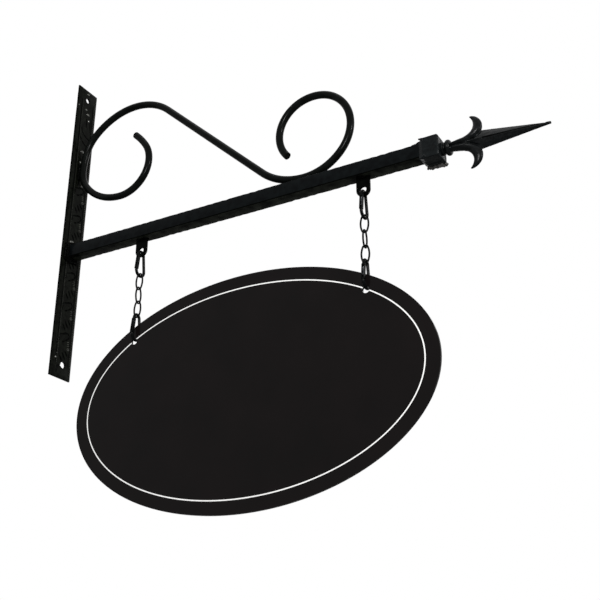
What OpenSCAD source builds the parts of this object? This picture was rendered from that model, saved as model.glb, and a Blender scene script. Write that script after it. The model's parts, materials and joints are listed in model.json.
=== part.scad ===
// Blade sign: a wall plate carries a square arm with a round-bar scroll above it and a cast spear on
// its end. An oval sign hangs under the arm on two short chains, each with a snap hook at both ends.
// The origin is on the wall face, at the middle of the wall plate. X runs out along the arm,
// Z is up, and the front of the sign looks along -Y. Lengths are in millimetres.

/* [Wall plate] */
// Width of the wall plate
plate_w = 40; // [34:1:60]
// Thickness of the wall plate
plate_t = 2.5; // [2:0.5:8]
// Height of the wall plate
plate_h = 466; // [400:2:600]
// Height of the upper screw hole above the middle of the plate
upper_hole_up = 215.6; // [180:0.1:225]
// Depth of the lower screw hole below the middle of the plate
lower_hole_down = 213.2; // [180:0.1:225]
// Distance of the upper screw hole from the plate's centre line
upper_hole_side = 0.8; // [-6:0.1:6]
// Distance of the lower screw hole from the plate's centre line
lower_hole_side = 3.7; // [-6:0.1:6]
// Diameter of the upper screw hole
upper_hole_d = 8; // [6:0.25:14]
// Diameter of the lower screw hole
lower_hole_d = 9.25; // [6:0.25:16]
// Bevel along the two long front edges
plate_bevel = 0.6; // [0.2:0.1:1]

/* [Arm] */
// Outside size of the square arm tube
tube_s = 19; // [15:0.5:26]
// Wall of the arm tube
tube_wall = 1.5; // [1:0.25:3]
// Rounding of the tube's outer corners
tube_corner_r = 1; // [0.5:0.1:2.5]
// Distance from the wall to the far end of the arm tube
arm_reach = 565; // [460:1:720]
// Distance of the arm's centre line below the middle of the plate
arm_drop = 45; // [0:1:120]
// Leg of the weld fillets on the arm and the tabs
weld_leg = 3; // [1.5:0.5:5]

/* [Scroll] */
// Diameter of the scroll's round bar
bar_d = 10; // [6:0.5:12]
// Height above the arm's centre line at which the scroll touches the plate
scroll_rise = 132.4; // [110:0.1:180]
// Slope of the straight run, in degrees
scroll_slope = 43.3; // [35:0.1:50]
// Radius of the bow that comes down onto the arm
arm_bow_r = 92; // [60:0.5:120]
// Length of each weld bead beside the scroll
bead_len = 22; // [10:1:30]

/* [Finial] */
// Outside size of the square collar
collar_s = 28; // [24:0.5:40]
// Length of the collar's block
collar_len = 20; // [14:0.5:30]
// Length of the bevel between the tube and the collar's block
collar_bevel = 5.5; // [2:0.5:9]
// Distance by which the casting sits below the arm's centre line
finial_drop = 1; // [0:0.1:2]
// Droop of the spear, in degrees
spear_droop = 2.3; // [0:0.1:4]
// Length of the spear from the collar's front face to its tip
spear_len = 129.5; // [90:0.5:180]
// Width of the spear's blade at its shoulders
blade_w = 26; // [14:0.5:40]
// Thickness of the blade at its ridge
blade_t = 10; // [6:0.5:16]
// Distance of each horn's tip from the spear's axis
horn_reach = 35.5; // [30:0.5:44]

/* [Hanging tabs] */
// Distance from the wall to the inner tab
inner_tab_x = 128.5; // [90:0.5:200]
// Distance between the two tabs, and between the two holes of the sign
hang_pitch = 336; // [260:1:380]
// Width of each tab
tab_w = 18; // [16:0.5:30]
// Thickness of each tab
tab_t = 3; // [2:0.25:3.5]
// Diameter of the hole in each tab
tab_hole_d = 9; // [7:0.25:11]
// Distance of the tab's hole below the arm
tab_hole_drop = 17.5; // [13:0.5:30]

/* [Snap hooks] */
// Wire of the snap hooks
hook_wire = 4; // [3:0.25:5]
// Outside length of a snap hook
hook_len = 40; // [36:1:60]
// Inside width of a hook at its narrow end
hook_narrow_w = 6.4; // [5.6:0.1:9]
// Inside width of a hook at its wide end
hook_wide_w = 12; // [10:0.25:18]

/* [Chain] */
// Wire of the chain links
link_wire = 2.4; // [1.6:0.1:3]
// Inside length of a link
link_len = 20.5; // [15:0.25:32]
// Inside width of a link
link_w = 8; // [6.5:0.25:12]
// Play between two pieces that hang in each other
hang_play = 0.3; // [0.2:0.05:0.6]

/* [Sign] */
// Width of the oval sign
sign_w = 510; // [420:2:640]
// Height of the oval sign
sign_h = 299; // [260:1:400]
// Thickness of the sign
sign_t = 3; // [2:0.25:4]
// Diameter of the two holes in the sign
sign_hole_d = 9; // [7:0.25:12]
// Height of the two holes above the centre of the sign
sign_hole_rise = 92.5; // [70:0.5:110]

/* [Hidden] */
$fn = 48;

paint = "#1c1d1d";
cast_paint = "#222425";
chain_black = "#161717";
panel_black = "#0e0e10";

// Bends of the scroll as [radius, angle]. A positive angle turns to the left, seen from the front.
// The wall curl runs down from where the bar touches the plate, and the top bow runs up from there.
wall_curl = [[42.7, 34.5], [84.3, 54], [46.6, 125], [118, 14]];
bow_in = [119, -15.8];
bow_crown = [57, -29.5];
bow_out_r = 95;
bow_out = [bow_out_r, -(90 + scroll_slope) - bow_in[1] - bow_crown[1]];
top_bow = [bow_in, bow_crown, bow_out];
arm_curl = [[69, 49.7], [57.5, 91.7], [53.4, 54.6], [47.2, 116]];

// Where two runs of a bar meet, one is drawn thinner by this and laps into the other, which keeps
// the joint between their tangent surfaces clean
thin_by = 0.03;
lap = 0.4;

// Places on the bar are [x, z, heading], with the heading in degrees up from the X axis. A run of
// the bar is a bend as above, or [0, length] where it is straight.
arm_z = -arm_drop;
arm_top = arm_z + tube_s / 2;
arm_bottom = arm_z - tube_s / 2;
bar_r = bar_d / 2;
wall_touch = [plate_t + bar_r, arm_z + scroll_rise];
function run_end(p, b) = let (h = p[2], a = b[1], r = b[0] * sign(a))
    b[0] == 0 ? [p[0] + a * cos(h), p[1] + a * sin(h), h]
              : [p[0] + r * (sin(h + a) - sin(h)), p[1] + r * (cos(h) - cos(h + a)), h + a];
function runs_end(p, runs, n) = n == 0 ? p : run_end(runs_end(p, runs, n - 1), runs[n - 1]);
curl_start = [wall_touch[0], wall_touch[1], -90];
bow_start = [wall_touch[0], wall_touch[1], 90];
bow_end = runs_end(bow_start, top_bow, len(top_bow));
arm_bow = [arm_bow_r, scroll_slope];
arm_bow_drop = arm_bow_r * (1 - cos(scroll_slope));
straight_len = (bow_end[1] - arm_top - bar_r - arm_bow_drop) / sin(scroll_slope);
to_arm = concat(top_bow, [[0, straight_len], arm_bow]);
arm_bow_start = runs_end(bow_start, to_arm, len(to_arm) - 1);
arm_touch = run_end(arm_bow_start, arm_bow);

// The casting on the arm's end
collar_fit = 0.1;
collar_back = arm_reach + collar_fit - (collar_len - 3);
collar_front = collar_back + collar_len;
collar_neck = tube_s + 2.4;
collar_edge = 1.5;
collar_z = arm_z - finial_drop;
recess_w = 8;
recess_depth = 1.2;
spear_z = collar_z - (collar_len / 2) * tan(spear_droop);
flange_r = 8;
flange_len = 3;
groove_r = 6.4;
bead_s = 8;
bead_r = 3.2;
bead_ring_r = 6.6;
shoulder_s = 48;
blade_root_s = 27;
blade_neck_s = 39;
blade_neck_w = 8;
edge_r = 0.4;
tip_r = 1.3;

// The spear's neck is two strands side by side, which part at the fork and become the horns. A horn
// is bounded by two arcs, each [centre, radius], and crosses them between the angles given.
neck_s = 9;
neck_r = 5.4;
neck_flare = 0.16;
strand_overlap = 0.4;
fork_s = [25.6, 30.5];
horn_in = [[23.6, horn_reach - 12], 14.6];
horn_in_turn = [-72, 46];
horn_out = [[33.4, horn_reach - 16.4], 16.3];
horn_out_turn = [-78, 82];
horn_root_t = 11;
horn_tip_t = 2.2;
horn_steps = 14;

// A snap hook in its own plane: u is across, v is up, and the wide end's centre is at the origin.
// The gate is on the side of positive u. The rivet and the gate lie on the line that touches both
// end circles, and places along that line are measured from the rivet, positive upwards.
hook_r = hook_wire / 2;
wide_r = hook_wide_w / 2 + hook_r;
narrow_r = hook_narrow_w / 2 + hook_r;
hook_rise = hook_len - hook_wire - wide_r - narrow_r;
leg_tilt = asin((wide_r - narrow_r) / hook_rise);
leg_len = hook_rise * cos(leg_tilt);
rivet_drop = 3.4;
gate_run = leg_len - rivet_drop;
rivet_r = 0.8;
rivet_head_r = 1.5;
rivet_head_t = 0.6;
pin_play = 0.05;
lug_t = hook_wire * 0.55;
lug_r = hook_r - 0.1;
cheek_t = 0.75;
lug_stub = hook_r + 0.35;
nose_back = 10;
gate_end = gate_run + 0.7;
tongue_w = 1.8;
tongue_top = 4;
web_start = hook_r + 0.6;
spring_t = 0.35;

// A link is an oval of two end bends and two wide side bends that run into each other
link_half_l = (link_len + link_wire) / 2;
link_half_w = (link_w + link_wire) / 2;
link_end_r = link_half_w * 0.7;
link_end_y = link_half_l - link_end_r;
link_side_r = (pow(link_half_w, 2) + pow(link_end_y, 2) - pow(link_end_r, 2)) / (2 * (link_half_w - link_end_r));
link_turn = atan(link_end_y / (link_side_r - link_half_w));

// The stack of hanging pieces, from the tab down to the sign
inner_x = inner_tab_x;
outer_x = inner_tab_x + hang_pitch;
tab_hole_z = arm_bottom - tab_hole_drop;
function edge_lift(r, t) = r - sqrt(r * r - t * t / 4);
tab_lift = edge_lift(hook_narrow_w / 2, tab_t) + hang_play * 0.8;
sign_lift = edge_lift(hook_wide_w / 2, sign_t) + hang_play * 0.8;
upper_hook_top = tab_hole_z - tab_hole_d / 2 + tab_lift + hook_wire;
upper_hook_z = upper_hook_top - hook_len + hook_r + wide_r;
link_drop = link_len - hang_play;
link_1_z = upper_hook_top - hook_len + hook_wire + hang_play - link_len / 2;
link_2_z = link_1_z - link_drop;
link_3_z = link_2_z - link_drop;
lower_hook_top = link_3_z - link_len / 2 + hang_play + hook_wire;
lower_hook_z = lower_hook_top - hook_len + hook_r + wide_r;
sign_hole_z = lower_hook_top - hook_len + hook_wire + sign_lift - sign_hole_d / 2;
sign_x = (inner_x + outer_x) / 2;
sign_z = sign_hole_z - sign_hole_rise;
sign_sides = 240;

module rounded_square(s, r) {
    square([s, s - 2 * r], center = true);
    square([s - 2 * r, s], center = true);
    for (x = [-1, 1], y = [-1, 1]) translate([x * (s / 2 - r), y * (s / 2 - r)]) circle(r = r);
}

// A square block along X that changes from side a to side b over length h
module square_taper(a, b, h) {
    corners = [[-1, -1], [1, -1], [1, 1], [-1, 1]];
    points = [for (end = [[0, a], [h, b]], c = corners) [end[0], c[0] * end[1] / 2, c[1] * end[1] / 2]];
    sides = [for (i = [0:3]) [i, i + 4, (i + 1) % 4 + 4, (i + 1) % 4]];
    polyhedron(points, concat([[0, 1, 2, 3], [7, 6, 5, 4]], sides));
}

// A closed skin over a row of rings with the same number of points
module skin(rings) {
    n = len(rings[0]);
    last = (len(rings) - 1) * n;
    sides = [for (i = [0:len(rings) - 2], j = [0:n - 1]) let (a = i * n + j, b = i * n + (j + 1) % n)
        each [[a, a + n, b], [b, a + n, b + n]]];
    ends = [[for (j = [0:n - 1]) j], [for (j = [n - 1:-1:0]) last + j]];
    polyhedron([for (ring = rings) each ring], concat(sides, ends));
}

// One ring of a blade or horn: centre c, half width w along the unit vector e in the XZ plane,
// half thickness t along Y. The power makes it an ellipse at 1 and a diamond at 2.
function ring(c, e, w, t, power, n) = [for (i = [0:n - 1]) let (a = 360 * i / n,
    k = sign(cos(a)) * pow(abs(cos(a)), power), m = sign(sin(a)) * pow(abs(sin(a)), power))
    [c[0] + e[0] * w * k, t * m, c[1] + e[1] * w * k]];

// One run of a round bar from place p, drawn flat
module bar_run(p, b, d, thin) {
    over = thin ? lap : 0;
    across = thin ? d - 2 * thin_by : d;
    if (b[0] == 0) {
        translate([p[0], p[1], 0])
            rotate([0, 90, p[2]]) translate([0, 0, -over]) cylinder(h = b[1] + 2 * over, d = across);
    } else {
        r = b[0] * sign(b[1]);
        more = over / b[0] * 180 / PI;
        start = b[1] > 0 ? p[2] - 90 : p[2] + 90 + b[1];
        translate([p[0] - r * sin(p[2]), p[1] + r * cos(p[2]), 0])
            rotate([0, 0, start - more])
                rotate_extrude(angle = abs(b[1]) + 2 * more, $fn = 2 * $fn) translate([b[0], 0]) circle(d = across);
    }
}

// A row of runs, of which every second one is the thin one
module bar_runs(p, runs, d, thin_first) {
    for (i = [0:len(runs) - 1]) bar_run(runs_end(p, runs, i), runs[i], d, (i % 2 == 1) != thin_first);
}

module wall_plate() {
    half = plate_w / 2;
    color(paint)
        difference() {
            translate([0, 0, -plate_h / 2])
                linear_extrude(plate_h)
                    polygon([[0, -half], [plate_t - plate_bevel, -half], [plate_t, plate_bevel - half],
                        [plate_t, half - plate_bevel], [plate_t - plate_bevel, half], [0, half]]);
            translate([-1, upper_hole_side, upper_hole_up])
                rotate([0, 90, 0]) cylinder(h = plate_t + 2, d = upper_hole_d);
            translate([-1, lower_hole_side, -lower_hole_down])
                rotate([0, 90, 0]) cylinder(h = plate_t + 2, d = lower_hole_d);
        }
}

module arm_tube() {
    color(paint)
        translate([plate_t, 0, arm_z])
            rotate([90, 0, 90])
                linear_extrude(arm_reach - plate_t)
                    difference() {
                        rounded_square(tube_s, tube_corner_r);
                        square(tube_s - 2 * tube_wall, center = true);
                    }
}

module arm_weld() {
    color(paint)
        difference() {
            translate([plate_t, 0, arm_z]) square_taper(tube_s + 2 * weld_leg, tube_s + 0.6, weld_leg);
            translate([plate_t - 1, 0, arm_z])
                rotate([90, 0, 90]) linear_extrude(weld_leg + 2) rounded_square(tube_s, tube_corner_r);
        }
}

module scroll_bar() {
    color(paint)
        rotate([90, 0, 0]) {
            bar_runs(curl_start, wall_curl, bar_d, false);
            bar_runs(bow_start, concat(to_arm, arm_curl), bar_d, true);
        }
}

// Two beads that fill the corners on both sides of a bar lying on a face, along X with the face at
// z = 0. The bar itself is the child and is cut away.
module bead_pair() {
    r = bar_d * 0.24;
    difference() {
        for (side = [-1, 1])
            translate([-bead_len / 2, side * bar_d * 0.36, r * 0.45])
                rotate([0, 90, 0])
                    rotate_extrude()
                        polygon([[0, 0], [r * 0.5, 0], [r, r], [r, bead_len - r], [r * 0.5, bead_len], [0, bead_len]]);
        translate([-bead_len, -bar_d, -bar_d]) cube([2 * bead_len, 2 * bar_d, bar_d]);
        children();
    }
}

module scroll_weld_wall() {
    $fn = 120;
    color(paint)
        translate([plate_t, 0, wall_touch[1]])
            rotate([0, 90, 0])
                bead_pair()
                    rotate([0, -90, 0])
                        translate([-plate_t, 0, -wall_touch[1]])
                            rotate([90, 0, 0]) {
                                bar_run(curl_start, wall_curl[0], bar_d, false);
                                bar_run(bow_start, bow_in, bar_d, true);
                            }
}

module scroll_weld_arm() {
    $fn = 120;
    color(paint)
        translate([arm_touch[0], 0, arm_top])
            bead_pair()
                translate([-arm_touch[0], 0, -arm_top])
                    rotate([90, 0, 0]) {
                        bar_run(arm_bow_start, arm_bow, bar_d, true);
                        bar_run(arm_touch, arm_curl[0], bar_d, false);
                    }
}

module finial_collar() {
    color(cast_paint)
        difference() {
            translate([0, 0, collar_z]) {
                translate([collar_back - collar_bevel, 0, 0]) square_taper(collar_neck, collar_s, collar_bevel);
                translate([collar_back, 0, 0]) square_taper(collar_s, collar_s, collar_len - collar_edge);
                translate([collar_front - collar_edge, 0, 0])
                    square_taper(collar_s, collar_s - 2 * collar_edge, collar_edge);
            }
            translate([0, 0, arm_z])
                rotate([90, 0, 90])
                    linear_extrude(arm_reach + collar_fit)
                        rounded_square(tube_s + 2 * collar_fit, tube_corner_r);
            translate([0, 0, collar_z - collar_s / 2 - 1])
                for (part = [0, 1])
                    if (part == 0)
                        translate([collar_back - collar_bevel - 1, -recess_w / 2, 0])
                            cube([collar_len + collar_bevel - 5, recess_w, recess_depth + 1]);
                    else
                        translate([collar_front - 6, 0, 0]) cylinder(h = recess_depth + 1, d = recess_w);
        }
}

// The stem of the spear, with its flange and its ring. It starts inside the collar, where
// finial_spear cuts it flush with the collar's face.
module spear_stem() {
    rotate([0, 90, 0])
        rotate_extrude()
            polygon([[0, -1], [flange_r, -1], [flange_r, flange_len], [groove_r, flange_len + 0.5],
                [groove_r, bead_s], [0, bead_s + bead_r]]);
    translate([bead_s, 0, 0])
        rotate([0, 90, 0]) rotate_extrude() translate([bead_ring_r, 0]) circle(r = bead_r);
}

module spear_blade() {
    reach = spear_len - shoulder_s;
    skin(concat([ring([blade_root_s, 0], [0, -1], edge_r, blade_t / 3, 1.8, 8),
            ring([blade_neck_s, 0], [0, -1], blade_neck_w / 2, blade_t / 2, 1.8, 8)],
        [for (u = [0:0.125:1]) ring([shoulder_s + reach * u, 0], [0, -1],
            tip_r + (blade_w / 2 - tip_r) * (1 - u), tip_r + (blade_t / 2 - tip_r) * (1 - pow(u, 1.3)), 1.8, 8)]));
}

// One horn with its strand of the neck. Each ring reaches from the inner edge to the outer edge.
module spear_horn() {
    function on_arc(arc, turn, q) = let (a = turn[0] + (turn[1] - turn[0]) * q)
        arc[0] + arc[1] * [cos(a), sin(a)];
    function between(a, b, t) = ring((a + b) / 2, (b - a) / norm(b - a), norm(b - a) / 2, t, 1.2, 12);
    function neck(s) = neck_r + neck_flare * (s - neck_s);
    strand = [for (s = [neck_s:5:fork_s[0] - 2]) between([s, neck(s)], [s, -strand_overlap], neck(s) * 0.85)];
    fork = between([fork_s[0], neck(fork_s[0]) + 0.6], [fork_s[1], -strand_overlap], horn_root_t / 2);
    crescent = [for (i = [0:horn_steps]) let (q = i / horn_steps)
        between(on_arc(horn_in, horn_in_turn, q), on_arc(horn_out, horn_out_turn, q),
            (horn_root_t + (horn_tip_t - horn_root_t) * q * q) / 2)];
    skin(concat(strand, [fork], crescent));
}

module finial_spear() {
    color(cast_paint)
        translate([collar_front, 0, spear_z])
            difference() {
                rotate([0, spear_droop, 0]) {
                    spear_stem();
                    spear_blade();
                    spear_horn();
                    mirror([0, 0, 1]) spear_horn();
                }
                translate([-collar_s, -collar_s, -collar_s]) cube([collar_s, 2 * collar_s, 2 * collar_s]);
            }
}

module tab(x) {
    color(paint)
        translate([x, tab_t / 2, 0])
            rotate([90, 0, 0])
                linear_extrude(tab_t)
                    difference() {
                        union() {
                            translate([-tab_w / 2, tab_hole_z]) square([tab_w, tab_hole_drop]);
                            translate([0, tab_hole_z]) circle(d = tab_w);
                        }
                        translate([0, tab_hole_z]) circle(d = tab_hole_d);
                    }
}

module tab_weld(x) {
    color(paint)
        translate([x, 0, arm_bottom])
            for (turn = [0, 180])
                rotate([0, 0, turn])
                    translate([-tab_w / 2, tab_t / 2, 0])
                        rotate([90, 0, 90])
                            linear_extrude(tab_w) polygon([[0, 0], [weld_leg, 0], [0, -weld_leg]]);
}

// Puts a snap hook at the height of its wide end's centre, with its gate to the front
module place_hook(x, z) {
    translate([x, 0, z]) rotate([0, 0, 180]) rotate([90, 0, 90]) children();
}

// Moves to the rivet, with the X axis pointing out of the hook and Y up along the gate
module at_rivet() {
    rotate([0, 0, leg_tilt]) translate([wide_r, gate_run, 0]) children();
}

module hook_body() {
    nose = [wide_r, 180 + 2 * leg_tilt - nose_back];
    leg = [0, leg_len];
    crown = [narrow_r, -(180 - 2 * leg_tilt)];
    leg_foot = [-wide_r * cos(leg_tilt), wide_r * sin(leg_tilt), -90 - leg_tilt];
    leg_start = [leg_foot[0], leg_foot[1], 90 - leg_tilt];
    leg_head = run_end(leg_start, leg);
    stub_start = run_end(leg_head, crown);
    color(chain_black)
        difference() {
            union() {
                bar_run(leg_foot, nose, hook_wire, false);
                bar_run(leg_start, leg, hook_wire, true);
                bar_run(leg_head, crown, hook_wire, false);
                bar_run(stub_start, [0, rivet_drop - lug_stub - lap], hook_wire, true);
                at_rivet() {
                    translate([0, 0, -lug_t / 2])
                        linear_extrude(lug_t) {
                            circle(r = lug_r);
                            translate([-lug_r, 0]) square([2 * lug_r, lug_stub + 0.4]);
                        }
                    translate([-hook_r * 0.45, -gate_run - 2.4, -tongue_w / 2])
                        cube([hook_wire * 0.55, tongue_top, tongue_w]);
                }
            }
            at_rivet() cylinder(h = hook_wire + 2, r = rivet_r + pin_play / 2, center = true);
        }
}

module hook_gate() {
    inner = hook_wire - 2 * cheek_t;
    color(chain_black)
        at_rivet()
            difference() {
                union() {
                    for (side = [-1, 1])
                        translate([0, 0, side * (hook_r - cheek_t / 2) - cheek_t / 2])
                            linear_extrude(cheek_t) {
                                circle(r = hook_r);
                                translate([-hook_r, -gate_end]) square([hook_wire, gate_end]);
                            }
                    translate([-hook_r, -gate_end, -inner / 2]) cube([cheek_t, gate_end - web_start, inner]);
                }
                cylinder(h = hook_wire + 2, r = rivet_r + pin_play, center = true);
            }
}

module hook_rivet() {
    color(chain_black)
        at_rivet() {
            cylinder(h = hook_wire + 2 * pin_play, r = rivet_r, center = true);
            for (side = [0, 180])
                rotate([side, 0, 0])
                    translate([0, 0, hook_r + pin_play]) cylinder(h = rivet_head_t, r1 = rivet_head_r, r2 = rivet_head_r * 0.6);
        }
}

// The leaf spring lies on the gate's web and presses on the end of the hook's lug
module hook_spring() {
    seat = cheek_t - hook_r + pin_play;
    tip = -lug_r - 0.3;
    color("#8d9094")
        at_rivet()
            translate([0, 0, -tongue_w / 2])
                linear_extrude(tongue_w)
                    polygon([[seat, -13], [seat + spring_t, -13], [seat + spring_t, -7], [0, tip - spring_t],
                        [0, tip], [-spring_t, tip], [seat, -7]]);
}

// A link drawn flat, with its long axis along Y
module chain_link() {
    end_bend = [link_end_r, 180 - 2 * link_turn];
    side_bend = [link_side_r, 2 * link_turn];
    start = [link_end_r * cos(link_turn), link_end_y + link_end_r * sin(link_turn), 90 + link_turn];
    $fn = 24;
    color(chain_black) bar_runs(start, [end_bend, side_bend, end_bend, side_bend], link_wire, false);
}

module link_along(x, z) {
    translate([x, 0, z]) rotate([90, 0, 0]) chain_link();
}

module link_across(x, z) {
    translate([x, 0, z]) rotate([90, 0, 90]) chain_link();
}

module sign_panel() {
    color(panel_black)
        translate([sign_x, sign_t / 2, sign_z])
            rotate([90, 0, 0])
                linear_extrude(sign_t)
                    difference() {
                        polygon([for (i = [0:sign_sides - 1]) let (a = 360 * i / sign_sides)
                            [sign_w / 2 * cos(a), sign_h / 2 * sin(a)]]);
                        for (side = [-1, 1]) translate([side * hang_pitch / 2, sign_hole_rise]) circle(d = sign_hole_d);
                    }
}

wall_plate();
arm_tube();
arm_weld();
scroll_bar();
scroll_weld_wall();
scroll_weld_arm();
finial_collar();
finial_spear();
tab(inner_x);  // inner_tab
tab(outer_x);  // outer_tab
tab_weld(inner_x);  // inner_tab_weld
tab_weld(outer_x);  // outer_tab_weld
place_hook(inner_x, upper_hook_z) hook_body();  // inner_upper_hook
place_hook(inner_x, upper_hook_z) hook_gate();  // inner_upper_gate
place_hook(inner_x, upper_hook_z) hook_rivet();  // inner_upper_rivet
place_hook(inner_x, upper_hook_z) hook_spring();  // inner_upper_spring
place_hook(outer_x, upper_hook_z) hook_body();  // outer_upper_hook
place_hook(outer_x, upper_hook_z) hook_gate();  // outer_upper_gate
place_hook(outer_x, upper_hook_z) hook_rivet();  // outer_upper_rivet
place_hook(outer_x, upper_hook_z) hook_spring();  // outer_upper_spring
link_along(inner_x, link_1_z);  // inner_link_1
link_across(inner_x, link_2_z);  // inner_link_2
link_along(inner_x, link_3_z);  // inner_link_3
link_along(outer_x, link_1_z);  // outer_link_1
link_across(outer_x, link_2_z);  // outer_link_2
link_along(outer_x, link_3_z);  // outer_link_3
place_hook(inner_x, lower_hook_z) hook_body();  // inner_lower_hook
place_hook(inner_x, lower_hook_z) hook_gate();  // inner_lower_gate
place_hook(inner_x, lower_hook_z) hook_rivet();  // inner_lower_rivet
place_hook(inner_x, lower_hook_z) hook_spring();  // inner_lower_spring
place_hook(outer_x, lower_hook_z) hook_body();  // outer_lower_hook
place_hook(outer_x, lower_hook_z) hook_gate();  // outer_lower_gate
place_hook(outer_x, lower_hook_z) hook_rivet();  // outer_lower_rivet
place_hook(outer_x, lower_hook_z) hook_spring();  // outer_lower_spring
sign_panel();
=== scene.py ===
import json
import math
import random

import bpy
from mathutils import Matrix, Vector


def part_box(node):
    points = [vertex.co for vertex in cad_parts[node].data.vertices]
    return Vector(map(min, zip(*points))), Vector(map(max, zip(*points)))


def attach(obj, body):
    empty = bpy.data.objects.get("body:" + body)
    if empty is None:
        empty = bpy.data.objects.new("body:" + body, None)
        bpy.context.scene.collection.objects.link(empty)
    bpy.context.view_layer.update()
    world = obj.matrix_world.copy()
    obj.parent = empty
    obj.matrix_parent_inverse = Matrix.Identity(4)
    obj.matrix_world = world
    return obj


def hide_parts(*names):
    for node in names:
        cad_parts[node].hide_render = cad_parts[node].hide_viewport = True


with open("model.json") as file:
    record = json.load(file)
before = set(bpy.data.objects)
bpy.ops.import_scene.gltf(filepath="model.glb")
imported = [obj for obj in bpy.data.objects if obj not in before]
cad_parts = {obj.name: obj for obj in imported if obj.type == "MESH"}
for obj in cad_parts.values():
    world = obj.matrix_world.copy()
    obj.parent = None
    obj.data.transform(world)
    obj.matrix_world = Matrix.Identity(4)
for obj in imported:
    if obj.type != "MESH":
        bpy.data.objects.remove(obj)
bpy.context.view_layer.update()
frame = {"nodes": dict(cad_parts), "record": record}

# Blade sign, seen from below and from the right. Sizes are millimetres until mm() turns them to metres.


def mm(*values):
    scaled = tuple(value / 1000 for value in values)
    return scaled if len(scaled) > 1 else scaled[0]


def linearColour(hexCode):
    # The standard sRGB curve: straight near black, a power above it.
    channels = [int(hexCode[i:i + 2], 16) / 255 for i in (0, 2, 4)]
    straight = [c / 12.92 if c <= 0.04045 else ((c + 0.055) / 1.055) ** 2.4 for c in channels]
    return (*straight, 1.0)


def addNode(tree, kind, settings=None, links=None):
    # Sockets are given by name or number, and what is no socket is a setting of the node itself.
    node = tree.nodes.new(kind)
    for name, value in (settings or {}).items():
        if isinstance(name, int) or name in node.inputs:
            node.inputs[name].default_value = value
        else:
            setattr(node, name, value)
    for name, source in (links or {}).items():
        tree.links.new(source, node.inputs[name])
    return node


# Materials

noiseSpan = (0.3, 0.7)  # where nearly all values of a noise lie


def makeFinish(name, look):
    # A finish is two tones in soft patches, an uneven sheen and layers of relief, each drawn by a noise.
    # patches and sheen are the noise's size and detail, and then the two tones or roughnesses. A layer of
    # relief is the noise's size and detail, and then the depth and strength of its bumps.
    material = bpy.data.materials.new(name)
    material.use_nodes = True
    tree = material.node_tree
    shader = tree.nodes["Principled BSDF"]
    for socket, value in look["shader"].items():
        shader.inputs[socket].default_value = value
    place = {"Vector": addNode(tree, "ShaderNodeTexCoord").outputs["Object"]}

    size, detail, dark, pale = look["patches"]
    low, high = look.get("patchSpan", noiseSpan)
    noise = addNode(tree, "ShaderNodeTexNoise", {"Scale": 1 / mm(size), "Detail": detail}, place)
    share = addNode(tree, "ShaderNodeMapRange", {"From Min": low, "From Max": high},
                    {"Value": noise.outputs["Fac"]})
    tones = addNode(tree, "ShaderNodeMix",
                    {"data_type": "RGBA", 6: linearColour(dark), 7: linearColour(pale)},
                    {0: share.outputs["Result"]})
    tree.links.new(tones.outputs[2], shader.inputs["Base Color"])

    if "sheen" in look:
        size, detail, smooth, rough = look["sheen"]
        low, high = noiseSpan
        noise = addNode(tree, "ShaderNodeTexNoise", {"Scale": 1 / mm(size), "Detail": detail}, place)
        sheen = addNode(tree, "ShaderNodeMapRange",
                        {"From Min": low, "From Max": high, "To Min": smooth, "To Max": rough},
                        {"Value": noise.outputs["Fac"]})
        tree.links.new(sheen.outputs["Result"], shader.inputs["Roughness"])

    under = {}
    for size, detail, depth, strength in look["relief"]:
        noise = addNode(tree, "ShaderNodeTexNoise", {"Scale": 1 / mm(size), "Detail": detail}, place)
        bumps = addNode(tree, "ShaderNodeBump", {"Distance": mm(depth), "Strength": strength},
                        {"Height": noise.outputs["Fac"], **under})
        under = {"Normal": bumps.outputs["Normal"]}
        tree.links.new(bumps.outputs["Normal"], shader.inputs["Normal"])
    return material


def satinPaint(name, dark, pale, gloss, patch=9.0):
    # Satin black enamel sprayed over hot-rolled steel: nearly even, with a soft sheen, the slow unevenness of
    # the rolled surface and a fine orange peel.
    return makeFinish(name, {
        "shader": {"IOR": 1.5, "Specular IOR Level": gloss},
        "patches": (patch, 3, dark, pale), "patchSpan": (0.35, 0.65), "sheen": (4.0, 4, 0.17, 0.27),
        "relief": [(9.0, 2, 0.1, 0.3), (0.9, 2, 0.02, 0.25)],
    })


def castPaint(name, dark, pale, gloss):
    # Black enamel over a rough sand casting: the lumps and the grain of the mould show through it.
    return makeFinish(name, {
        "shader": {"IOR": 1.5, "Specular IOR Level": gloss},
        "patches": (5.0, 4, dark, pale), "sheen": (2.5, 3, 0.2, 0.34),
        "relief": [(5.0, 2, 0.4, 0.4), (0.8, 3, 0.08, 0.6)],
    })


def blackWire():
    # Drawn steel wire dipped in thin black lacquer: a deep black with a soft sheen and faint cloudy marks.
    return makeFinish("lacquerOnDrawnWire", {
        "shader": {"IOR": 1.5, "Specular IOR Level": 0.03},
        "patches": (3.0, 4, "050606", "0c0d0d"), "sheen": (1.6, 3, 0.16, 0.26),
        "relief": [(0.7, 2, 0.03, 0.5)],
    })


def springSteel():
    # Bare cold-rolled spring strip: smooth grey metal with small cloudy patches.
    return makeFinish("rolledSpringSteel", {
        "shader": {"Metallic": 1.0},
        "patches": (1.5, 3, "6c6f73", "93979b"), "sheen": (0.6, 2, 0.25, 0.4),
        "relief": [],
    })


def glossAcrylic():
    # Cast acrylic sheet, black all through and polished: one even deep tone, hardly any texture, and a faint
    # unevenness that bends what it reflects.
    return makeFinish("castBlackAcrylic", {
        "shader": {"IOR": 1.49, "Specular IOR Level": 0.06},
        "patches": (60.0, 2, "0c0a0a", "0f0c0c"), "sheen": (25.0, 4, 0.08, 0.14),
        "relief": [(70.0, 1, 0.2, 0.15)],
    })


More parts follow.
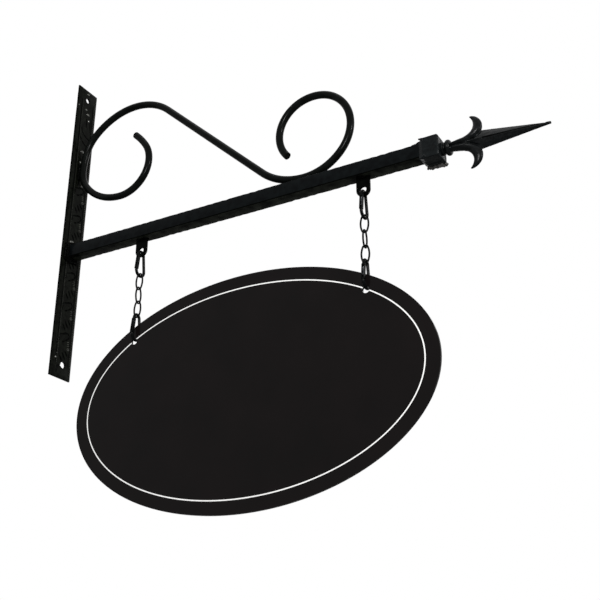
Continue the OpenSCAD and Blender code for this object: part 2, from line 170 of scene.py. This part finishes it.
def whiteInk():
    # Screen-printed white ink: slightly chalky, with the fine unevenness that the screen leaves.
    return makeFinish("printedWhiteInk", {
        "shader": {"Roughness": 0.5, "IOR": 1.5},
        "patches": (2.0, 3, "dcdcda", "f4f4f2"),
        "relief": [(0.5, 2, 0.02, 0.3)],
    })


finishes = {
    # Of whole pieces, by slot.
    "painted_steel": satinPaint("satinEnamelOnRolledSteel", "050605", "0a0c0b", 0.03),
    "painted_casting": castPaint("enamelOnCasting", "08090a", "121516", 0.05),
    "black_chain": blackWire(),
    "spring_steel": springSteel(),
    "sign_board": glossAcrylic(),
    # Of single places: the printed line, the own tones of the plate, the tube and the spear, a near-black
    # that also serves as painted shade, and pale painted highlights on raised parts, the tube's underside and
    # the casting flash.
    "ink": whiteInk(),
    "plate": satinPaint("satinEnamelOnPatternedBar", "040403", "0e100c", 0.025, 5.0),
    # Rims and rope edge: a paler tone as painted highlight.
    "rims": satinPaint("paintedHighlightOnPatternRims", "131411", "1d1e1a", 0.05),
    # Beads and spatter: a pale tone as painted highlight, on glossy enamel.
    "beads": satinPaint("glossyEnamelWithPaintedHighlightOnBeads", "363733", "50514b", 0.5),
    # Dashes: a pale tone as painted highlight.
    "dashes": satinPaint("paintedHighlightOnPatternDashes", "292a26", "3a3b36", 0.1),
    # Near-black: the black of welds and tabs, and painted shade in grooves, corners, the fuller and the
    # plate's front edge.
    "blackAndPaintedShade": satinPaint("nearBlackEnamelAndPaintedShade", "020202", "050605", 0.01),
    "arm": satinPaint("satinEnamelOnSquareTube", "050607", "0a0d0e", 0.03),
    # Its paler patches are painted highlights on the tube's underside.
    "thin": satinPaint("thinEnamelOverPrimer", "060706", "242621", 0.015, 14.0),
    "spear": castPaint("thickGlossOnCasting", "050606", "0d0f10", 0.07),
    # Its pale tone is painted highlight on the flash.
    "flash": castPaint("thinEnamelOnCastingFlash", "252423", "5c5956", 0.18),
}
print("materials made:", len(finishes))


def coat(piece, *names):
    piece.data.materials.clear()
    for name in names:
        piece.data.materials.append(finishes[name])


# The tabs have the near-black finish, the same as the welds and the painted shade.
slotOfNode = {entry["node"]: entry["material_slot"] for entry in frame["record"]["subparts"]}
for nodeName, nodeObject in frame["nodes"].items():
    coat(nodeObject, "blackAndPaintedShade" if nodeName.endswith("_tab") else slotOfNode[nodeName])


# Modelling helpers


def onlySelect(piece):
    if bpy.context.mode != "OBJECT":
        bpy.ops.object.mode_set(mode="OBJECT")
    bpy.ops.object.select_all(action="DESELECT")
    piece.select_set(True)
    bpy.context.view_layer.objects.active = piece


def pick(piece, kind, test):
    # Leaves the piece in edit mode, with only the vertices or edges selected that pass the test.
    onlySelect(piece)
    bpy.ops.object.mode_set(mode="EDIT")
    bpy.ops.mesh.select_mode(type=kind)
    bpy.ops.mesh.select_all(action="DESELECT")
    bpy.ops.object.mode_set(mode="OBJECT")
    elements = {"VERT": piece.data.vertices, "EDGE": piece.data.edges}
    for element in elements[kind]:
        element.select = test(element)
    bpy.ops.object.mode_set(mode="EDIT")


def edgeRun(piece, edge):
    first, second = (piece.data.vertices[i].co for i in edge.vertices)
    return second - first


def modify(piece, kind, **settings):
    onlySelect(piece)
    modifier = piece.modifiers.new(kind.lower(), kind)
    for name, value in settings.items():
        setattr(modifier, name, value)
    bpy.ops.object.modifier_apply(modifier=modifier.name)


def cutAway(piece, tool, **settings):
    modify(piece, "BOOLEAN", object=tool, operation="DIFFERENCE", solver="EXACT", **settings)
    bpy.data.objects.remove(tool)


def melt(piece, voxel, rounds):
    # Runs overlapping parts together into one skin and softens it.
    modify(piece, "REMESH", mode="VOXEL", voxel_size=mm(voxel))
    modify(piece, "SMOOTH", factor=0.5, iterations=rounds)


def waver(piece, depth, size):
    # Pushes the surface in and out by a soft noise, as casting and molten drops leave it.
    clouds = bpy.data.textures.new(piece.name + "Clouds", "CLOUDS")
    clouds.noise_scale = mm(size)
    clouds.noise_depth = 1
    modify(piece, "DISPLACE", texture=clouds, strength=mm(depth))


def joinAll(pieces):
    bpy.ops.object.select_all(action="DESELECT")
    for piece in pieces:
        piece.select_set(True)
    bpy.context.view_layer.objects.active = pieces[0]
    bpy.ops.object.join()
    return pieces[0]


def placeInMesh(piece):
    onlySelect(piece)
    bpy.ops.object.transform_apply(location=True, rotation=True, scale=True)


def blockLike(node, name):
    # A block that fills the node's box.
    low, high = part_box(node)
    bpy.ops.mesh.primitive_cube_add(size=1, location=(low + high) / 2)
    block = bpy.context.object
    block.name = name
    block.scale = high - low
    placeInMesh(block)
    return block


def ball(radius, place):
    # A small rough ball for welds and castings. Its place is in metres.
    bpy.ops.mesh.primitive_ico_sphere_add(subdivisions=2, radius=mm(radius), location=place)
    return bpy.context.object


def shaken(place, reach, hand):
    return place + Vector([hand.uniform(-1, 1) * mm(reach) for _ in range(3)])


def settle(piece, body, slot, smoothAngle, *replaced):
    placeInMesh(piece)
    bpy.ops.object.shade_smooth_by_angle(angle=math.radians(smoothAngle))
    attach(piece, body)
    if replaced:
        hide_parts(*replaced)
    print(piece.name, "made,", len(piece.data.polygons), "faces")


# Wall plate: ornamental flat bar, its front with pressed grooves, raised beads and rims, and a rope edge

plate = {
    # Edges along the bar: how often they are cut, rounded by how much, and how far and how slowly they waver.
    "edgeCuts": 110, "edgeBevel": 0.5, "edgeWaver": 0.5, "edgeHold": 0.9, "edgeSeed": 4,
    "paintedShadeFacing": -0.25,  # faces that look further to the front than this get near-black painted shade
    "drillLength": 20.0, "sliver": 0.02, "smoothAngle": 40,
    "pitch": 46.0, "repeats": 7, "firstUp": -202.0,
    # Grooves of one repeat, each a run of points: across the plate and up from the repeat's middle.
    "strokes": [((-4.4, 0.6), (0.8, -6.8)), ((0.2, 5.6), (6.0, -2.8)), ((5.2, 9.0), (10.6, 2.6))],
    "corner": [((9.5, -9.5), (-7.6, -15.0), (-8.2, -25.0))],
    "curve": [((0.5, 35.0), (7.5, 35.8), (11.2, 32.6), (8.6, 27.6), (2.6, 23.4), (-3.3, 20.4))],
    # Grooves near the upper end, up from the middle of the plate.
    "leaf": [((-10.2, 156.0), (-8.6, 148.5), (-4.2, 142.0), (1.0, 138.6), (7.5, 136.0)),
             ((-6.7, 165.0), (-5.4, 158.6), (-1.2, 154.0), (5.0, 151.4), (11.5, 150.0)),
             ((9.1, 189.0), (11.0, 164.0)), ((1.5, 186.0), (2.5, 168.0))],
    "strokeWidth": 3.1, "grooveWidth": 2.4, "grooveDepth": 1.0,
    "strokeOverlap": 0.6,  # how much longer a stretch is than its run, as a share of its width
    # Lines along the whole bar: place across and width. They are made of overlapping stretches.
    "edgeLines": [(-11.6, 2.6), (13.2, 2.0)],
    "rims": [(-9.4, 0.9)],
    "linePitch": 38, "lineHalf": 24, "lineReach": 5,
    # What is raised in each repeat.
    "dashes": [((7.9, 23.2), (10.9, 23.6)), ((8.1, 20.4), (11.1, 20.8)), ((8.4, 17.8), (11.3, 18.2))],
    "dashWidth": 1.5, "ring": (10.4, 13.2), "ringRadius": 1.7, "ringWidth": 1.1,
    # Beads: place across and up, width and height.
    "beads": [(0.4, 226.6, 4.4, 2.6), (-1.1, 198.3, 3.4, 3.4), (3.6, 191.6, 6.0, 3.2), (6.2, 181.4, 3.0, 3.6),
              (-0.2, 123.6, 6.0, 4.4), (-1.4, 104.6, 4.6, 4.4), (-1.5, 95.9, 2.6, 3.4), (3.7, 74.9, 3.2, 4.2),
              (5.9, 67.5, 4.2, 4.4), (-17.6, 198.4, 1.8, 2.2), (-12.0, -206.0, 3.0, 3.0)],
    "rimRise": 0.5, "beadRise": 1.0,
    # Rope edge: slanting strands, this many above and below the middle.
    "ropeAcross": 17.0, "ropePitch": 3.4, "strandLength": 4.08, "strandWidth": 2.4, "strandTurn": 25,
    "strandRise": 0.7, "ropeReach": 66,
}


def ridge(length, width, place, turn, rise):
    # A long lump whose middle lies in the plate's front, so that it stands up from it, or cuts into it, by
    # rise. place is across and up, and turn is in degrees.
    bpy.ops.mesh.primitive_uv_sphere_add(segments=12, ring_count=8, radius=0.5)
    lump = bpy.context.object
    lump.scale = mm(2 * rise, width, length)
    lump.rotation_euler = (math.radians(turn), 0, 0)
    lump.location = mm(0, *place)
    placeInMesh(lump)
    return lump


def pressedRing(radius, width, place, rise):
    bpy.ops.mesh.primitive_torus_add(major_radius=mm(radius), minor_radius=mm(width / 2), major_segments=28,
                                     minor_segments=8, rotation=(0, math.pi / 2, 0))
    ring = bpy.context.object
    placeInMesh(ring)
    ring.scale = (2 * rise / width, 1, 1)
    ring.location = mm(0, *place)
    placeInMesh(ring)
    return ring


def stroke(points, width, rise):
    # Ridges end to end along a run of points on the plate's front.
    parts = []
    for first, second in zip(points, points[1:]):
        across, up = second[0] - first[0], second[1] - first[1]
        middle = ((first[0] + second[0]) / 2, (first[1] + second[1]) / 2)
        length = math.hypot(across, up) + width * plate["strokeOverlap"]
        parts.append(ridge(length, width, middle, math.degrees(math.atan2(-across, up)), rise))
    return parts


def strokes(runs, width, rise):
    return sum([stroke(run, width, rise) for run in runs], [])


def alongPlate(lines, rise):
    # Lines that run the whole way up, in overlapping stretches.
    reach, half = plate["lineReach"], plate["lineHalf"]
    middles = [step * plate["linePitch"] for step in range(-reach, reach + 1)]
    return sum([stroke(((across, middle - half), (across, middle + half)), width, rise)
                for across, width in lines for middle in middles], [])


def repeatUp(repeat, faceAt):
    # Copies one repeat of the pattern up the plate, each copy with its own mesh.
    copies = []
    for index in range(plate["repeats"]):
        copy = repeat.copy()
        copy.data = repeat.data.copy()
        bpy.context.scene.collection.objects.link(copy)
        copy.location = (faceAt, 0, mm(plate["firstUp"] + index * plate["pitch"]))
        placeInMesh(copy)
        copies.append(copy)
    bpy.data.objects.remove(repeat)
    return copies


def pressGrooves(slab, faceAt):
    # The pattern is pressed into the face, and its grooves are near-black: painted shade.
    wide, deep = plate["grooveWidth"], plate["grooveDepth"]
    slanted = strokes(plate["strokes"], plate["strokeWidth"], deep)
    drawn = strokes(plate["corner"] + plate["curve"], wide, deep)
    press = repeatUp(joinAll(slanted + drawn), faceAt)
    leaf = strokes(plate["leaf"], wide, deep)
    lines = joinAll(alongPlate(plate["edgeLines"], deep) + leaf)
    lines.location.x = faceAt
    placeInMesh(lines)
    cutter = joinAll(press + [lines])
    coat(cutter, "blackAndPaintedShade")
    cutAway(slab, cutter, use_self=True, material_mode="TRANSFER")
    # The cut leaves slivers where grooves meet, which are merged away.
    pick(slab, "VERT", lambda vertex: True)
    bpy.ops.mesh.remove_doubles(threshold=mm(plate["sliver"]))
    bpy.ops.mesh.dissolve_degenerate(threshold=mm(plate["sliver"]))
    bpy.ops.object.mode_set(mode="OBJECT")


def raisedParts(faceAt):
    # What stands up from the face: a ring and dashes in each repeat, beads, a rim and a rope edge.
    tall, low = plate["beadRise"], plate["rimRise"]
    ring = pressedRing(plate["ringRadius"], plate["ringWidth"], plate["ring"], low)
    dashes = repeatUp(joinAll([ring] + strokes(plate["dashes"], plate["dashWidth"], tall)), faceAt)
    beads = [ridge(height, width, (across, up), 0, tall) for across, up, width, height in plate["beads"]]
    rims = alongPlate(plate["rims"], low)
    for step in range(-plate["ropeReach"], plate["ropeReach"] + 1):
        place = (plate["ropeAcross"], step * plate["ropePitch"])
        rims.append(ridge(plate["strandLength"], plate["strandWidth"], place, plate["strandTurn"],
                          plate["strandRise"]))
    for lump in beads + rims:
        lump.location.x = faceAt
        placeInMesh(lump)
    # The rims, beads and dashes are paler than the plate: painted highlights.
    for name, lumps in (("dashes", dashes), ("beads", beads), ("rims", rims)):
        for lump in lumps:
            coat(lump, name)
    return dashes + beads + rims


def drillScrewHoles(slab):
    for hole in [mount for mount in frame["record"]["mounts"] if mount["name"].endswith("screw_hole")]:
        bpy.ops.mesh.primitive_cylinder_add(vertices=48, radius=mm(hole["dims"]["r_mm"]),
                                            depth=mm(plate["drillLength"]), rotation=(0, math.pi / 2, 0),
                                            location=hole["pos_m"])
        cutAway(slab, bpy.context.object)


def embossedPlate():
    low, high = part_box("wall_plate")
    slab = blockLike("wall_plate", "embossedPlate")
    pick(slab, "EDGE", lambda edge: abs(edgeRun(slab, edge).z) > (high.z - low.z) / 2)
    bpy.ops.mesh.subdivide(number_cuts=plate["edgeCuts"])
    pick(slab, "VERT", lambda vertex: vertex.co.x > (low.x + high.x) / 2)
    bpy.ops.mesh.bevel(offset=mm(plate["edgeBevel"]), segments=2, affect="EDGES")
    bpy.ops.object.mode_set(mode="OBJECT")
    # Each long edge wavers inwards, slowly on its way up.
    wave = random.Random(plate["edgeSeed"])
    hold = plate["edgeHold"]
    drift = {-1: 0.0, 1: 0.0}
    for vertex in sorted(slab.data.vertices, key=lambda corner: corner.co.z):
        side = -1 if vertex.co.y < 0 else 1
        drift[side] = hold * drift[side] + (1 - hold) * wave.uniform(-1, 1) * mm(plate["edgeWaver"])
        vertex.co.y -= side * abs(drift[side])
    drillScrewHoles(slab)

    # The edge that faces the front is near-black: painted shade.
    coat(slab, "plate", "blackAndPaintedShade")
    for face in slab.data.polygons:
        face.material_index = 1 if face.normal.y < plate["paintedShadeFacing"] else 0
    pressGrooves(slab, high.x)
    joinAll([slab] + raisedParts(high.x))
    settle(slab, "bracket", "painted_steel", plate["smoothAngle"], "wall_plate")


embossedPlate()


# Arm: square tube whose four corners are hammered at short, uneven steps

arm = {
    "corner": 1.0, "cuts": 225, "seed": 11, "smoothAngle": 28,
    "firstBlow": (2, 10), "step": (8.5, 13.5),
    "dent": (0.3, 0.8), "dentLength": 2.4, "dentSpread": (0.75, 1.3),
    "dentReach": 5.0,  # how far from its corner a blow still moves the tube's sides
    "dentShare": 0.7,  # how much of a blow's depth goes into each of the two sides
    "paintedShadeBand": 2.4,  # width of the near-black band of painted shade along the lower front corner
    "thinFacing": -0.8,  # faces that look further down than this get paler, mottled painted highlights
}


def hammerBlows(start, end):
    # For each corner, where the blows fell, how deep they are and how long.
    blows = {}
    hand = random.Random(arm["seed"])
    for corner in ((-1, -1), (-1, 1), (1, -1), (1, 1)):
        place = start + mm(hand.uniform(*arm["firstBlow"]))
        blows[corner] = []
        while place < end:
            depth = mm(hand.uniform(*arm["dent"]))
            length = mm(arm["dentLength"]) * hand.uniform(*arm["dentSpread"])
            blows[corner].append((place, depth, length))
            place += mm(hand.uniform(*arm["step"]))
    return blows


def hammeredArm():
    low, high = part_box("arm_tube")
    middle, size = (low + high) / 2, high - low
    tube = blockLike("arm_tube", "hammeredArm")
    pick(tube, "EDGE", lambda edge: abs(edgeRun(tube, edge).x) > size.x / 2)
    bpy.ops.mesh.bevel(offset=mm(arm["corner"]), segments=3, affect="EDGES")
    pick(tube, "EDGE", lambda edge: abs(edgeRun(tube, edge).x) > size.x / 2)
    bpy.ops.mesh.subdivide(number_cuts=arm["cuts"])
    bpy.ops.object.mode_set(mode="OBJECT")

    blows = hammerBlows(low.x, high.x)
    half = size.y / 2
    for vertex in tube.data.vertices:
        across, up = vertex.co.y - middle.y, vertex.co.z - middle.z
        corner = (1 if across > 0 else -1, 1 if up > 0 else -1)
        nearness = max(0.0, 1 - ((half - abs(across)) + (half - abs(up))) / mm(arm["dentReach"]))
        depth = sum(deep * math.exp(-((vertex.co.x - place) / length) ** 2)
                    for place, deep, length in blows[corner])
        vertex.co.y -= corner[0] * depth * nearness * arm["dentShare"]
        vertex.co.z -= corner[1] * depth * nearness * arm["dentShare"]
    # Painted shade runs along the lower front corner, and the underside has paler, mottled painted
    # highlights.
    coat(tube, "arm", "blackAndPaintedShade", "thin")
    for face in tube.data.polygons:
        toFront, toGround = middle.y - face.center.y, middle.z - face.center.z
        inCorner = min(toFront, toGround) > half - mm(arm["paintedShadeBand"])
        face.material_index = 1 if inCorner else 2 if face.normal.z < arm["thinFacing"] else 0
    settle(tube, "bracket", "painted_steel", arm["smoothAngle"], "arm_tube")


hammeredArm()


# Welds: each is a row of overlapping lumps run together, as a stick weld leaves them

weld = {
    "step": 1.2, "shake": 0.6, "swell": (0.55, 1.3), "voxel": 0.45, "rounds": 2, "endInset": 1.0,
    "smoothAngle": 60,
    # Straight seams: the new piece, its node, how far from the middle, how far in, where, seed, lump size.
    "seams": [("scrollWallWeld", "scroll_weld_wall", 4.2, 1.0, "wall", 8, 2.0),
              ("scrollArmWeld", "scroll_weld_arm", 4.4, 1.0, "bottom", 9, 1.6),
              ("innerTabWeld", "inner_tab_weld", 2.4, 0.6, "top", 12, 1.1),
              ("outerTabWeld", "outer_tab_weld", 2.4, 0.6, "top", 17, 1.1)],
    "foot": 2.2, "footSeed": 5, "footGap": 0.4, "footOut": 1.0,
    # A dark run of lumps on the plate beside and below the arm's foot: place across the plate and up.
    "darkPatch": [(-14.6, -35.0), (-15.2, -46.0), (-14.2, -58.5), (-4.0, -60.5), (8.0, -59.0)],
    "darkPatchOut": 0.8,
    # Drops of spatter: place across the plate and up, size.
    "spatter": [(-6.6, -29.6, 1.9), (-4.0, -28.9, 1.8), (-1.6, -28.4, 1.3), (-11.6, -52.5, 1.4),
                (-9.8, -47.8, 1.0), (-15.4, -38.0, 0.8), (9.0, -30.0, 0.8)],
    "spatterOut": 0.6, "spatterWaver": (0.5, 1.5),
}


def weldRun(name, paths, seed, size):
    # Each path is a list of corner points in metres. Lumps follow it and are melted into one skin.
    hand = random.Random(seed)
    lumps = []
    for path in paths:
        for start, end in zip(path, path[1:]):
            run = end - start
            steps = max(1, round(run.length / mm(weld["step"])))
            for step in range(steps + 1):
                spot = shaken(start + run * (step / steps), weld["shake"], hand)
                lumps.append(ball(size * hand.uniform(*weld["swell"]), spot))
    bead = joinAll(lumps)
    bead.name = name
    placeInMesh(bead)
    melt(bead, weld["voxel"], weld["rounds"])
    return bead


def seamPaths(node, across, inset, where):
    # The two straight seams of a weld node, one on each side of what it holds.
    low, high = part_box(node)
    if where == "wall":
        ends = [(low.x + mm(inset), low.z), (low.x + mm(inset), high.z)]
    else:
        height = high.z - mm(inset) if where == "top" else low.z + mm(inset)
        ends = [(low.x + mm(weld["endInset"]), height), (high.x - mm(weld["endInset"]), height)]
    return [[Vector((along, side * mm(across), up)) for along, up in ends] for side in (-1, 1)]


def armFootWeld():
    # Once round the arm's foot, with a dark run of lumps on the plate below it and the drops beside it.
    low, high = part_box("arm_weld")
    tubeLow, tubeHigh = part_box("arm_tube")
    reach = (tubeHigh.y - tubeLow.y) / 2 + mm(weld["footGap"])
    up = (low.z + high.z) / 2
    foot = [Vector((low.x + mm(weld["footOut"]), side * reach, up + rise * reach))
            for side, rise in ((-1, -1), (1, -1), (1, 1), (-1, 1), (-1, -1))]
    darkPatch = [Vector((low.x + mm(weld["darkPatchOut"]), *mm(across, height))) for across, height in weld["darkPatch"]]
    bead = weldRun("armFootWeld", [foot, darkPatch], weld["footSeed"], weld["foot"])
    # The bead and the dark run have the near-black finish.
    coat(bead, "blackAndPaintedShade")
    spatter = joinAll([ball(size, (low.x + mm(weld["spatterOut"]), *mm(across, height)))
                       for across, height, size in weld["spatter"]])
    # The drops have the pale bead finish: painted glints.
    coat(spatter, "beads")
    waver(spatter, *weld["spatterWaver"])
    settle(joinAll([bead, spatter]), "bracket", "painted_steel", weld["smoothAngle"], "arm_weld")


def seamWelds():
    for name, node, across, inset, where, seed, size in weld["seams"]:
        bead = weldRun(name, seamPaths(node, across, inset, where), seed, size)
        # The seams are near-black: the weld's own black and, at the tabs' roots, painted shade.
        coat(bead, "blackAndPaintedShade")
        settle(bead, "bracket", "painted_steel", weld["smoothAngle"], node)


armFootWeld()
seamWelds()


# Casting: the collar and the spear, softened and made uneven as sand casting leaves them

casting = {
    "mergeGap": 0.01, "voxel": 0.42, "collarWaver": 0.5, "spearWaver": 0.25, "waverSize": 6.0,
    "roughAngle": 60, "spearAngle": 50,
    "lump": (0.9, 1.9), "lumpShake": 0.7,
    # Lumps round the collar's rear: how far along and in, and how far from its bottom and its top.
    "rearLumps": 26, "rearSeed": 21, "rearShakeSeed": 22,
    "rearAlong": (1.5, 9), "rearIn": (0.6, 2.0), "rearBottoms": (1.4, 2.4), "rearTops": (1.4, 0.8),
    # Metal that ran back along the arm's top front edge, thinner the further it ran.
    "runLumps": 16, "runSeed": 24, "runLength": 10.0, "runIn": (0, 2.5), "runRise": 2.2,
    # Flash under the collar's lower back edge: how far along, in and up.
    "flashLumps": 84, "flashShakeSeed": 23,
    "flashAlong": (2, 26), "flashIn": (-0.4, 5.0), "flashUp": (-0.9, 1.4),
    # Spear: where the blade starts, its fuller, and the balls that blunt its tip: how far back and how large.
    "bladeStart": 50.0, "grooveHalf": 1.3, "grooveDepth": 0.7,
    "grooveShare": 0.4,  # the most that the fuller takes of half the blade's thickness
    "paintedShadeShare": 0.7, "paintedShadeFacing": 0.3,  # where in the fuller the near-black painted shade lies
    "bluntTip": [(1.3, 1.1), (2.6, 1.25), (4.0, 1.35), (5.6, 1.45)],
}


def softCopy(node, name, rounds):
    source = frame["nodes"][node]
    piece = bpy.data.objects.new(name, source.data.copy())
    bpy.context.scene.collection.objects.link(piece)
    pick(piece, "VERT", lambda vertex: True)
    bpy.ops.mesh.remove_doubles(threshold=mm(casting["mergeGap"]))
    bpy.ops.object.mode_set(mode="OBJECT")
    melt(piece, casting["voxel"], rounds)
    return piece


def castLumps(spots, seed):
    hand = random.Random(seed)
    lumps = []
    for spot in spots:
        place = shaken(Vector(spot), casting["lumpShake"], hand)
        lumps.append(ball(hand.uniform(*casting["lump"]), place))
    return lumps


def rearSpots(low, high, hand):
    heights = [low.z + mm(rise) for rise in casting["rearBottoms"]]
    heights += [high.z - mm(fall) for fall in casting["rearTops"]]
    spots = []
    for _ in range(casting["rearLumps"]):
        side = hand.choice((-1, 1))
        along, inwards = mm(hand.uniform(*casting["rearAlong"])), mm(hand.uniform(*casting["rearIn"]))
        spots.append((low.x + along, side * (high.y - inwards), hand.choice(heights)))
    return spots


def runSpots(low, hand):
    tubeLow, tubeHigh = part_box("arm_tube")
    spots = []
    for _ in range(casting["runLumps"]):
        back = hand.uniform(0, 1)
        inwards = mm(hand.uniform(*casting["runIn"]))
        spots.append((low.x - mm(casting["runLength"] * back), tubeLow.y + inwards,
                      tubeHigh.z + mm(casting["runRise"] * (0.5 - back))))
    return spots


def flashSpots(low, high, hand):
    spots = []
    for _ in range(casting["flashLumps"]):
        along, inwards = mm(hand.uniform(*casting["flashAlong"])), mm(hand.uniform(*casting["flashIn"]))
        spots.append((low.x + along, high.y - inwards, low.z + mm(hand.uniform(*casting["flashUp"]))))
    return spots


def castCollar():
    # The socket is cast round the arm's end: metal ran back along the arm's top edge, and a ragged skin of
    # flash hangs from the socket's lower back edge.
    collar = softCopy("finial_collar", "castCollar", rounds=4)
    low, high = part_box("finial_collar")
    hand = random.Random(casting["runSeed"])
    spots = rearSpots(low, high, random.Random(casting["rearSeed"])) + runSpots(low, hand)
    joinAll([collar] + castLumps(spots, casting["rearShakeSeed"]))
    melt(collar, casting["voxel"], rounds=3)
    waver(collar, casting["collarWaver"], casting["waverSize"])
    coat(collar, "painted_casting")
    settle(collar, "bracket", "painted_casting", casting["roughAngle"], "finial_collar")

    flash = joinAll(castLumps(flashSpots(low, high, hand), casting["flashShakeSeed"]))
    flash.name = "castingFlash"
    melt(flash, casting["voxel"], rounds=1)
    # The flash is pale grey: painted highlight.
    coat(flash, "flash")
    settle(flash, "bracket", "painted_casting", casting["roughAngle"])


def castSpear():
    # Both faces of the blade have a narrow fuller along the middle, with near-black painted shade in it.
    spear = softCopy("finial_spear", "castSpear", rounds=2)
    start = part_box("finial_spear")[0].x + mm(casting["bladeStart"])
    corners = [vertex.co.copy() for vertex in frame["nodes"]["finial_spear"].data.vertices]
    blade = [place for place in corners if place.x > start]
    root = max(blade, key=lambda place: abs(place.y))
    tip = max(blade, key=lambda place: place.x)
    blunt = [ball(size, tip - Vector((mm(back), 0, 0))) for back, size in casting["bluntTip"]]
    joinAll([spear] + blunt)
    modify(spear, "REMESH", mode="VOXEL", voxel_size=mm(casting["voxel"]))
    waver(spear, casting["spearWaver"], casting["waverSize"])
    half = mm(casting["grooveHalf"])

    def offLine(place):
        share = (place.x - root.x) / (tip.x - root.x)
        return abs(place.z - root.z - (tip.z - root.z) * share)

    for vertex in spear.data.vertices:
        near = 1 - offLine(vertex.co) / half
        if vertex.co.x > start and near > 0:
            pressed = min(mm(casting["grooveDepth"]), abs(vertex.co.y) * casting["grooveShare"]) * near
            vertex.co.y -= math.copysign(pressed, vertex.co.y)
    coat(spear, "spear", "blackAndPaintedShade")
    for face in spear.data.polygons:
        onBlade = face.center.x > start and abs(face.normal.y) > casting["paintedShadeFacing"]
        inGroove = offLine(face.center) < half * casting["paintedShadeShare"]
        face.material_index = 1 if onBlade and inGroove else 0
    settle(spear, "bracket", "painted_casting", casting["spearAngle"], "finial_spear")


castCollar()
castSpear()


# Border line: a thin printed ellipse on the board's front, which stops short of the two holes

border = {
    "halfWidth": 237.5, "halfHeight": 133.0, "lineWidth": 1.5, "inkThickness": 0.08, "steps": 360,
    "holePitch": 336.0, "holeUp": 92.5, "holeGap": 4.6, "punchLength": 10.0, "smoothAngle": 30,
}


def borderLine():
    low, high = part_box("sign_panel")
    middle = (low + high) / 2
    bpy.ops.mesh.primitive_circle_add(vertices=border["steps"], radius=1, fill_type="NOTHING",
                                      rotation=(math.pi / 2, 0, 0))
    line = bpy.context.object
    line.name = "borderLine"
    line.scale = (*mm(border["halfWidth"], border["halfHeight"]), 1)
    placeInMesh(line)
    pick(line, "EDGE", lambda edge: True)
    bpy.ops.mesh.extrude_edges_move()
    across, up = (1 - border["lineWidth"] / border[side] for side in ("halfWidth", "halfHeight"))
    bpy.ops.transform.resize(value=(across, 1, up), center_override=(0, 0, 0))
    bpy.ops.mesh.select_all(action="SELECT")
    bpy.ops.mesh.normals_make_consistent(inside=False)
    bpy.ops.object.mode_set(mode="OBJECT")
    modify(line, "SOLIDIFY", thickness=mm(border["inkThickness"]), offset=0)
    line.location = (middle.x, low.y - mm(border["inkThickness"]) / 2, middle.z)
    placeInMesh(line)
    for side in (-1, 1):
        hole = (middle.x + side * mm(border["holePitch"] / 2), low.y, middle.z + mm(border["holeUp"]))
        bpy.ops.mesh.primitive_cylinder_add(vertices=40, radius=mm(border["holeGap"]),
                                            depth=mm(border["punchLength"]), rotation=(math.pi / 2, 0, 0),
                                            location=hole)
        cutAway(line, bpy.context.object)
    coat(line, "ink")
    settle(line, "sign_panel", "sign_board", border["smoothAngle"])


borderLine()


# Camera, light and surroundings. Places and sizes here are metres, lens and sensor are millimetres.

cameraView = {
    "place": (0.9156, -0.9550, -0.6777), "turn": (113.62, 0.0, 29.455), "lens": 59.91, "sensor": 36.0,
}
studio = {
    "floorAt": (0.3, 0, -2.4), "floorSize": 40.0, "floorTone": "e4e4e4", "floorRoughness": 0.9,
    "worldGrey": 0.35,  # how strongly the white world lights the object
}
lampAim = (0.33, 0, -0.11)
softboxes = {
    "frontBox": {"place": (1.25, -1.9, 0.15), "size": 0.22, "power": 42},
    "rightBox": {"place": (2.6, -0.5, 0.7), "size": 0.22, "power": 33},
    "topBox": {"place": (0.2, -0.4, 2.4), "size": 1.2, "power": 6},
    "backBox": {"place": (0.2, 2.2, 1.0), "size": 1.2, "power": 5},
}


def placeCamera():
    data = bpy.data.cameras.new("photoCamera")
    data.lens = cameraView["lens"]
    data.sensor_width = cameraView["sensor"]
    camera = bpy.data.objects.new("photoCamera", data)
    camera.location = cameraView["place"]
    camera.rotation_euler = [math.radians(angle) for angle in cameraView["turn"]]
    bpy.context.scene.collection.objects.link(camera)
    bpy.context.scene.camera = camera


def hangSoftboxes():
    middle = Vector(lampAim)
    for name, box in softboxes.items():
        data = bpy.data.lights.new(name, "AREA")
        data.shape = "SQUARE"
        data.size = box["size"]
        data.energy = box["power"]
        light = bpy.data.objects.new(name, data)
        light.location = box["place"]
        light.rotation_euler = (middle - light.location).to_track_quat("-Z", "Y").to_euler()
        bpy.context.scene.collection.objects.link(light)


def makeWorld():
    # White where the camera or a reflection sees it, and dimmer as a light on the object.
    world = bpy.data.worlds.new("whiteStudio")
    bpy.context.scene.world = world
    world.use_nodes = True
    tree = world.node_tree
    back = tree.nodes["Background"]
    back.inputs["Color"].default_value = (1, 1, 1, 1)
    path = addNode(tree, "ShaderNodeLightPath")
    direct = addNode(tree, "ShaderNodeMath", {"operation": "MAXIMUM"},
                     {0: path.outputs["Is Camera Ray"], 1: path.outputs["Is Glossy Ray"]})
    seen = addNode(tree, "ShaderNodeMath", {"operation": "MAXIMUM"},
                   {0: direct.outputs[0], 1: path.outputs["Is Transmission Ray"]})
    strength = addNode(tree, "ShaderNodeMapRange", {"To Min": studio["worldGrey"], "To Max": 1.0},
                       {"Value": seen.outputs[0]})
    tree.links.new(strength.outputs[0], back.inputs["Strength"])


def makeFloor():
    # Matt paper roll, pale and plain.
    bpy.ops.mesh.primitive_plane_add(size=studio["floorSize"], location=studio["floorAt"])
    floor = bpy.context.object
    floor.name = "paleFloor"
    bpy.ops.object.transform_apply(location=True, rotation=True, scale=True)
    material = bpy.data.materials.new("matPaleFloor")
    material.use_nodes = True
    shader = material.node_tree.nodes["Principled BSDF"]
    shader.inputs["Base Color"].default_value = linearColour(studio["floorTone"])
    shader.inputs["Roughness"].default_value = studio["floorRoughness"]
    floor.data.materials.append(material)


placeCamera()
hangSoftboxes()
makeWorld()
makeFloor()
bpy.context.scene.view_settings.view_transform = "Standard"
print("camera, softboxes and surroundings set")
